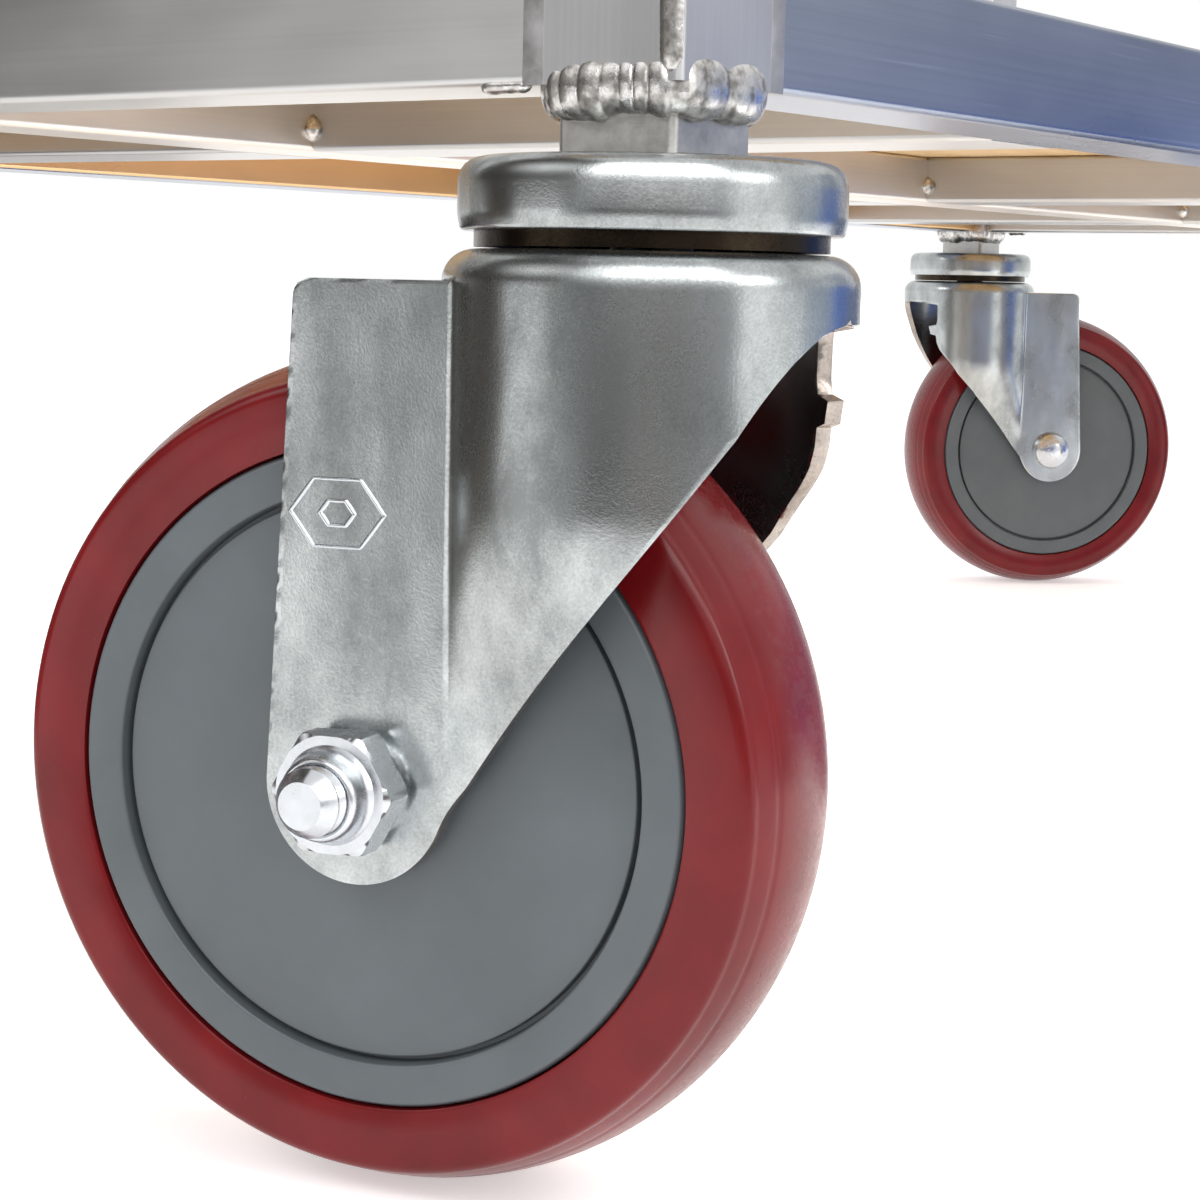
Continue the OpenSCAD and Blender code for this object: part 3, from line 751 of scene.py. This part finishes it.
def cap_rings(i):
    """Raceway cap turned about the swivel axis: flat top, well rounded edge and a lip at the lower rim."""
    hole_r = 3 * MM
    edge_r = 4.4 * MM
    profile = rounded([(hole_r, CAP_LOW + 0.2 * MM), (hole_r, STUB_LOW), (CAP_R, STUB_LOW),
                       (CAP_R, CAP_LOW + 2.2 * MM), (CAP_R - 0.5 * MM, CAP_LOW),
                       (CAP_R - 2.2 * MM, CAP_LOW + 0.2 * MM)],
                      [0.2 * MM, edge_r, 0.8 * MM, 0.7 * MM], steps=8)
    return turned(profile, np.append(corner_xy(i), 0.0), (0, 0, 1), 128)


def lip_rings(i):
    """Dust lip round the balls, from inside the cap down to just above the crown."""
    lip_r = 25.5 * MM
    lip_in = 24.0 * MM
    low_z = CROWN_TOP + 0.3 * MM
    top_z = CAP_LOW + 1 * MM
    profile = [(lip_in, top_z), (lip_r, top_z), (lip_r, low_z), (lip_in, low_z)]
    rings = turned(profile, np.append(corner_xy(i), 0.0), (0, 0, 1), 96)
    return np.concatenate([rings, rings[:1]])


for corner in CORNERS:
    make_fork(corner)
    make_emboss(corner)
    make_tyre(corner)
    make_core(corner)
    make_nut(corner)
    make_bolt(corner)
caps = skins("pressed_caps", [cap_rings(i) for i in CORNERS], ZINC, "frame", "zinc_steel")
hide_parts("raceway_caps")
# The dust lips' near-black colour is grease plus painted shade of the gap under the caps.
skins("dust_lips", [lip_rings(i) for i in CORNERS], GREASE_AND_PAINTED_SHADE, "frame", "zinc_steel")


# ---------------------------------------------------------------- welds

def bead_rings(path, radius, pitch, seed, squash=1.0):
    """A weld bead along a path: a round section that swells at each frozen ripple and wanders a little."""
    path = np.asarray(path, float)
    steps = np.linalg.norm(np.diff(path, axis=0), axis=1)
    run = np.concatenate([[0], np.cumsum(steps)])
    count = max(8, int(run[-1] / (0.6 * MM)))
    at = np.linspace(0, run[-1], count)
    centre = np.stack([np.interp(at, run, path[:, k]) for k in range(3)], -1)
    tangent = np.gradient(centre, axis=0)
    tangent /= np.linalg.norm(tangent, axis=1)[:, None]
    pick = np.random.default_rng(seed)
    knots = np.linspace(0, run[-1], max(4, int(run[-1] / (5 * MM))))
    wander = np.interp(at, knots, pick.uniform(-0.16, 0.16, len(knots)))
    phase = (at / pitch) % 1.0
    ripple = 0.10 * np.sqrt(np.maximum(1 - (2 * phase - 1) ** 2, 0))
    ends = np.sqrt(np.clip(np.minimum(at, run[-1] - at) / radius, 0.02, 1))
    size = radius * (0.9 + wander + ripple) * ends
    guide = np.array([0.0, 0.0, 1.0]) if abs(tangent[0, 2]) < 0.7 else np.array([1.0, 0.0, 0.0])
    side = np.cross(tangent, guide)
    side /= np.linalg.norm(side, axis=1)[:, None]
    other = np.cross(side, tangent)
    angle = np.linspace(0, TAU, 16, endpoint=False)
    ring = np.cos(angle)[None, :, None] * side[:, None]
    ring = ring + squash * np.sin(angle)[None, :, None] * other[:, None]
    return centre[:, None] + size[:, None, None] * ring


def foot_weld(i):
    """Bead round the stub under the post: broad smooth puddles on two faces, tight ripples on the others.

    The ripple's phase is the run along the path divided by the pitch of the face it is on.
    """
    half = 10.7 * MM
    outline = rounded_rectangle(2 * half, 2 * half, 3 * MM, 5)
    outline = np.vstack([outline, outline[:1]])
    run = np.concatenate([[0], np.cumsum(np.linalg.norm(np.diff(outline, axis=0), axis=1))])
    at = np.linspace(0, run[-1], 420)
    flat = np.stack([np.interp(at, run, outline[:, k]) for k in range(2)], -1)
    broad = smooth_step(np.abs(flat[:, 1]) - np.abs(flat[:, 0]), -3 * MM, 0)
    pick = np.random.default_rng(40 + i)
    pitch = (2.6 + 7.4 * broad) * MM * (1 + 0.25 * np.sin(at / (2.1 * MM)) * (1 - broad))
    phase = (np.cumsum(at[1] / pitch) + 0.40) % 1.0
    dome = np.sin(math.pi * phase) ** (0.5 + 0.4 * broad)
    knots = np.linspace(0, at[-1], 30)
    wander = np.interp(at, knots, pick.uniform(-1, 1, len(knots)))
    lift = (0.5 * np.interp(at, knots, pick.uniform(-1, 1, len(knots))) * (1 - 0.8 * broad) - 0.3) * MM
    across = (2.2 + dome * (0.25 + 0.55 * broad) + 0.4 * wander * (1 - broad)) * MM
    tall = (4.1 + dome * (0.25 + 0.5 * broad) + 0.6 * wander * (1 - broad)) * MM
    angle = np.linspace(0, TAU, 36, endpoint=False)
    centre = np.column_stack([flat + corner_xy(i), RAIL_Z + lift])
    sideways = np.column_stack([flat / np.linalg.norm(flat, axis=1)[:, None], np.zeros(len(at))])
    up = np.array([0.0, 0.0, 1.0])
    ring = (across[:, None] * np.cos(angle))[..., None] * sideways[:, None]
    ring = ring + (tall[:, None] * np.sin(angle))[..., None] * up
    return centre[:, None] + ring


def corner_weld(i):
    """Rough upright bead laid flat on the post's end face, along its outer edge, as tall as the rails."""
    centre = corner_xy(i)
    out = np.sign(centre)
    place = centre + out * (POST_HALF - np.array([0.1, 1.7]) * MM)
    path = [(*place, RAIL_Z + 1 * MM), (*place, RAIL_TOP + 6 * MM)]
    return bead_rings(path, 1.9 * MM, 1.3 * MM, 60 + i, squash=0.3)


def ground_joints(i):
    """Thin slabs over the two joints between a post and its rails, where the weld was ground flush."""
    centre = corner_xy(i)
    out = np.sign(centre)
    slabs = []
    for axis in (0, 1):
        other = 1 - axis
        middle = np.zeros(3)
        middle[axis] = centre[axis] + out[axis] * (POST_HALF - 0.8 * MM)
        middle[other] = centre[other] - out[other] * POST_HALF
        middle[2] = (RAIL_Z + RAIL_TOP) / 2
        half = np.zeros(3)
        half[axis] = 0.82 * MM
        half[other] = 1.8 * MM
        half[2] = (RAIL_TOP - RAIL_Z) / 2 + 0.05 * MM
        slabs.append(slab_rings(middle - half, middle + half, 0.05 * MM, 0.02 * MM, 1))
    return slabs


def bar_welds():
    """Upright dabs in the corners where each cross bar meets the long middle bar and the side rails."""
    dabs = []
    middle_lo = low("middle_bar")[1]
    middle_hi = high("middle_bar")[1]
    for k, bar in enumerate(("cross_bar_front", "cross_bar_middle", "cross_bar_rear")):
        for m, x in enumerate((low(bar)[0], high(bar)[0])):
            for n, y in enumerate((middle_lo, middle_hi, low(bar)[1], high(bar)[1])):
                tall, fat = (8 * MM, 3.0 * MM) if n < 2 else (13 * MM, 1.6 * MM)
                path = [(x, y, RAIL_Z + 2 * MM), (x, y, RAIL_Z + tall)]
                dabs.append(bead_rings(path, fat, 3.2 * MM, 100 + 10 * k + 4 * m + n))
    return dabs


def underside_tacks(i):
    """Short row of lumps under the end rail, beside the post."""
    centre = corner_xy(i)
    out = np.sign(centre)
    x = centre[0] + out[0] * (POST_HALF - 1.2 * MM)
    start = centre[1] - out[1] * (POST_HALF + 1 * MM)
    path = [(x, start, RAIL_Z), (x, start - out[1] * 9 * MM, RAIL_Z)]
    return bead_rings(path, 1.1 * MM, 2.6 * MM, 150 + i)


weld_parts = [foot_weld(i) for i in CORNERS] + [corner_weld(i) for i in CORNERS] + bar_welds()
weld_parts += [underside_tacks(i) for i in CORNERS]
welds = skins("weld_runs", weld_parts, WELD, "frame", "weld", smooth_angle=75)
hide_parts("weld_beads")
joints = [slab for i in CORNERS for slab in ground_joints(i)]
skins("ground_joints", joints, GROUND, "frame", "frame_aluminium")


# ---------------------------------------------------------------- post caps, deck and pins

cap_low = low("post_caps")[2]
cap_top = high("post_caps")[2]
cap_under = cap_top - 3 * MM
plug_half = POST_HALF - 2.1 * MM
cap_parts = []
for corner in CORNERS:
    xy = corner_xy(corner)
    for half, under, top, radius, edge in ((POST_HALF, cap_under, cap_top, 2 * MM, 1.2 * MM),
                                           (plug_half, cap_low, cap_under, 1 * MM, 0.8 * MM)):
        cap_parts.append(slab_rings((*(xy - half), under), (*(xy + half), top), radius, edge))
post_tops = skins("moulded_post_tops", cap_parts, NYLON, "frame", "black_plastic")
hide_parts("post_caps")

deck = skin("plywood_panel", slab_rings(low("deck_board"), high("deck_board"), 3 * MM, 1.2 * MM), PLY,
            "platform", "plywood")
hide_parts("deck_board")

for corner in CORNERS:
    lo = low(f"pull_knob_{corner}")
    hi = high(f"pull_knob_{corner}")
    out = math.copysign(1.0, lo[1])
    inner_y = min(abs(lo[1]), abs(hi[1]))
    length = hi[1] - lo[1]
    knob_r = (hi[2] - lo[2]) / 2
    profile = rounded([(0.0, 0.0), (knob_r * 0.72, 0.0), (knob_r * 0.60, length * 0.30),
                       (knob_r, length * 0.52), (knob_r, length * 0.88), (knob_r * 0.8, length),
                       (0.0, length * 0.97)],
                      [1 * MM, 3 * MM, 2 * MM, 2 * MM, 2 * MM], steps=6)
    centre = ((lo[0] + hi[0]) / 2, out * inner_y, (lo[2] + hi[2]) / 2)
    rings = turned(profile, centre, (0, out, 0), 64)
    knob = skin(f"knob_{corner}", rings, NYLON, f"pin_{corner}", "black_plastic")
    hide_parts(f"pull_knob_{corner}")


# ---------------------------------------------------------------- floor, lights and camera

def plain_surface(name, code, roughness):
    """A plain matt studio surface."""
    material, _, shader = new_material(name, Roughness=roughness)
    shader.inputs["Base Color"].default_value = colour(code)
    return material


def stage_plane(name, centre, size, turn, material):
    """A flat card or floor that belongs to the studio, not to the object."""
    mesh = bpy.data.meshes.new(name)
    half_w, half_h = size[0] / 2, size[1] / 2
    flat = [(-half_w, -half_h, 0), (half_w, -half_h, 0), (half_w, half_h, 0), (-half_w, half_h, 0)]
    mesh.from_pydata(flat, [], [(0, 1, 2, 3)])
    mesh.transform(Matrix.Translation(centre) @ Euler(turn).to_matrix().to_4x4())
    mesh.materials.append(material)
    card = bpy.data.objects.new(name, mesh)
    bpy.context.scene.collection.objects.link(card)


def soft_light(name, place, aim, size, power):
    """A square area light turned to face a point."""
    data = bpy.data.lights.new(name, "AREA")
    data.size = size
    data.energy = power
    light = bpy.data.objects.new(name, data)
    light.location = place
    light.rotation_euler = (Vector(aim) - Vector(place)).to_track_quat("-Z", "Y").to_euler()
    bpy.context.scene.collection.objects.link(light)
    return light


def reflector(name, azimuths, distance, heights, code, strength=1.0, corner=1):
    """A card seen only in reflections: part of a cylinder round one caster, between two azimuths."""
    material = bpy.data.materials.new(name)
    material.use_nodes = True
    tree = material.node_tree
    tree.nodes.clear()
    glow = add(tree, "ShaderNodeEmission", {"Color": colour(code), "Strength": strength})
    out = add(tree, "ShaderNodeOutputMaterial")
    tree.links.new(glow.outputs["Emission"], out.inputs["Surface"])
    angle = np.radians(np.linspace(*azimuths, 17))
    plan = corner_xy(corner) + distance * np.stack([np.cos(angle), np.sin(angle)], -1)
    verts = [(*p, z) for z in heights for p in plan]
    mesh = bpy.data.meshes.new(name)
    mesh.from_pydata(verts, [], strip_faces(2, len(plan), wrap_columns=False))
    mesh.materials.append(material)
    card = bpy.data.objects.new(name, mesh)
    bpy.context.scene.collection.objects.link(card)
    card.visible_camera = False
    card.visible_diffuse = False
    card.visible_shadow = False
    card.visible_transmission = False


FLOOR = plain_surface("studio_floor", "#f4f4f4", 0.7)
FLOOR_GLOW = 0.45
floor_shader = FLOOR.node_tree.nodes["Principled BSDF"]
floor_shader.inputs["Emission Color"].default_value = colour("#ffffff")
floor_shader.inputs["Emission Strength"].default_value = FLOOR_GLOW
stage_plane("floor", (0, 0, 0), (60, 60), (0, 0, 0), FLOOR)

world = bpy.data.worlds.new("studio")
bpy.context.scene.world = world
world.use_nodes = True
world.node_tree.nodes["Background"].inputs["Color"].default_value = colour("#ffffff")
world.node_tree.nodes["Background"].inputs["Strength"].default_value = 1.0

soft_light("key", (-1.9, 1.0, 1.5), (-0.38, -0.15, 0.1), 0.9, 14)
soft_light("side", (-0.2, -2.4, 1.0), (-0.3, -0.1, 0.1), 0.8, 8)
soft_light("far_fill", (0.0, -0.5, 0.45), (0.38, 0.17, 0.06), 0.3, 4).visible_glossy = False

# What the polished parts reflect: the casters see the low band, the rails and caps the high one.
LOW_BAND = (0.0, 0.175)
HIGH_BAND = (0.175, 1.6)
reflector("shade_behind", (52, 100), 0.50, (0.0, 0.12), "#17191a")
reflector("brown_left", (100, 133), 0.50, LOW_BAND, "#4d443a")
reflector("mid_left", (161, 176), 0.52, LOW_BAND, "#9ea3a2")
reflector("dim_room", (176, 205), 0.54, LOW_BAND, "#262524")
reflector("rosy_wall", (205, 238), 0.56, LOW_BAND, "#5e524e")
reflector("grey_wall", (238, 262), 0.58, LOW_BAND, "#85868a")
reflector("pale_blue", (302, 326), 0.58, LOW_BAND, "#b4bfd0")
reflector("blue_card", (326, 352), 1.00, (0.0, 0.22), "#557fd8")
reflector("brown_wall", (88, 172), 0.58, HIGH_BAND, "#433e3a")
reflector("pale_side", (296, 331), 1.5, (0.17, 0.8), "#dcdee4")
reflector("dusk_side", (331, 352), 1.5, (0.17, 0.8), "#aeb5c4")
reflector("overhead", (175, 262), 0.42, (0.29, 0.95), "#ffffff", 4.0)
reflector("far_blue_grey", (212, 248), 0.55, (0.0, 0.15), "#7a84a2", 1.0, 3)

camera_data = bpy.data.cameras.new("camera")
camera_data.sensor_width = 36
camera_data.lens = 74.7
camera = bpy.data.objects.new("camera", camera_data)
heading, pitch, roll = 35.09, -7.25, -1.26
camera.rotation_mode = "QUATERNION"
turn = Matrix.Rotation(math.radians(heading - 90), 3, "Z")
turn = turn @ Matrix.Rotation(math.radians(90 + pitch), 3, "X")
turn = turn @ Matrix.Rotation(math.radians(-roll), 3, "Z")
camera.rotation_quaternion = turn.to_quaternion()
camera.location = (-0.6807, -0.3703, 0.1365)
bpy.context.scene.collection.objects.link(camera)
bpy.context.scene.camera = camera
bpy.context.scene.view_settings.view_transform = "Standard"
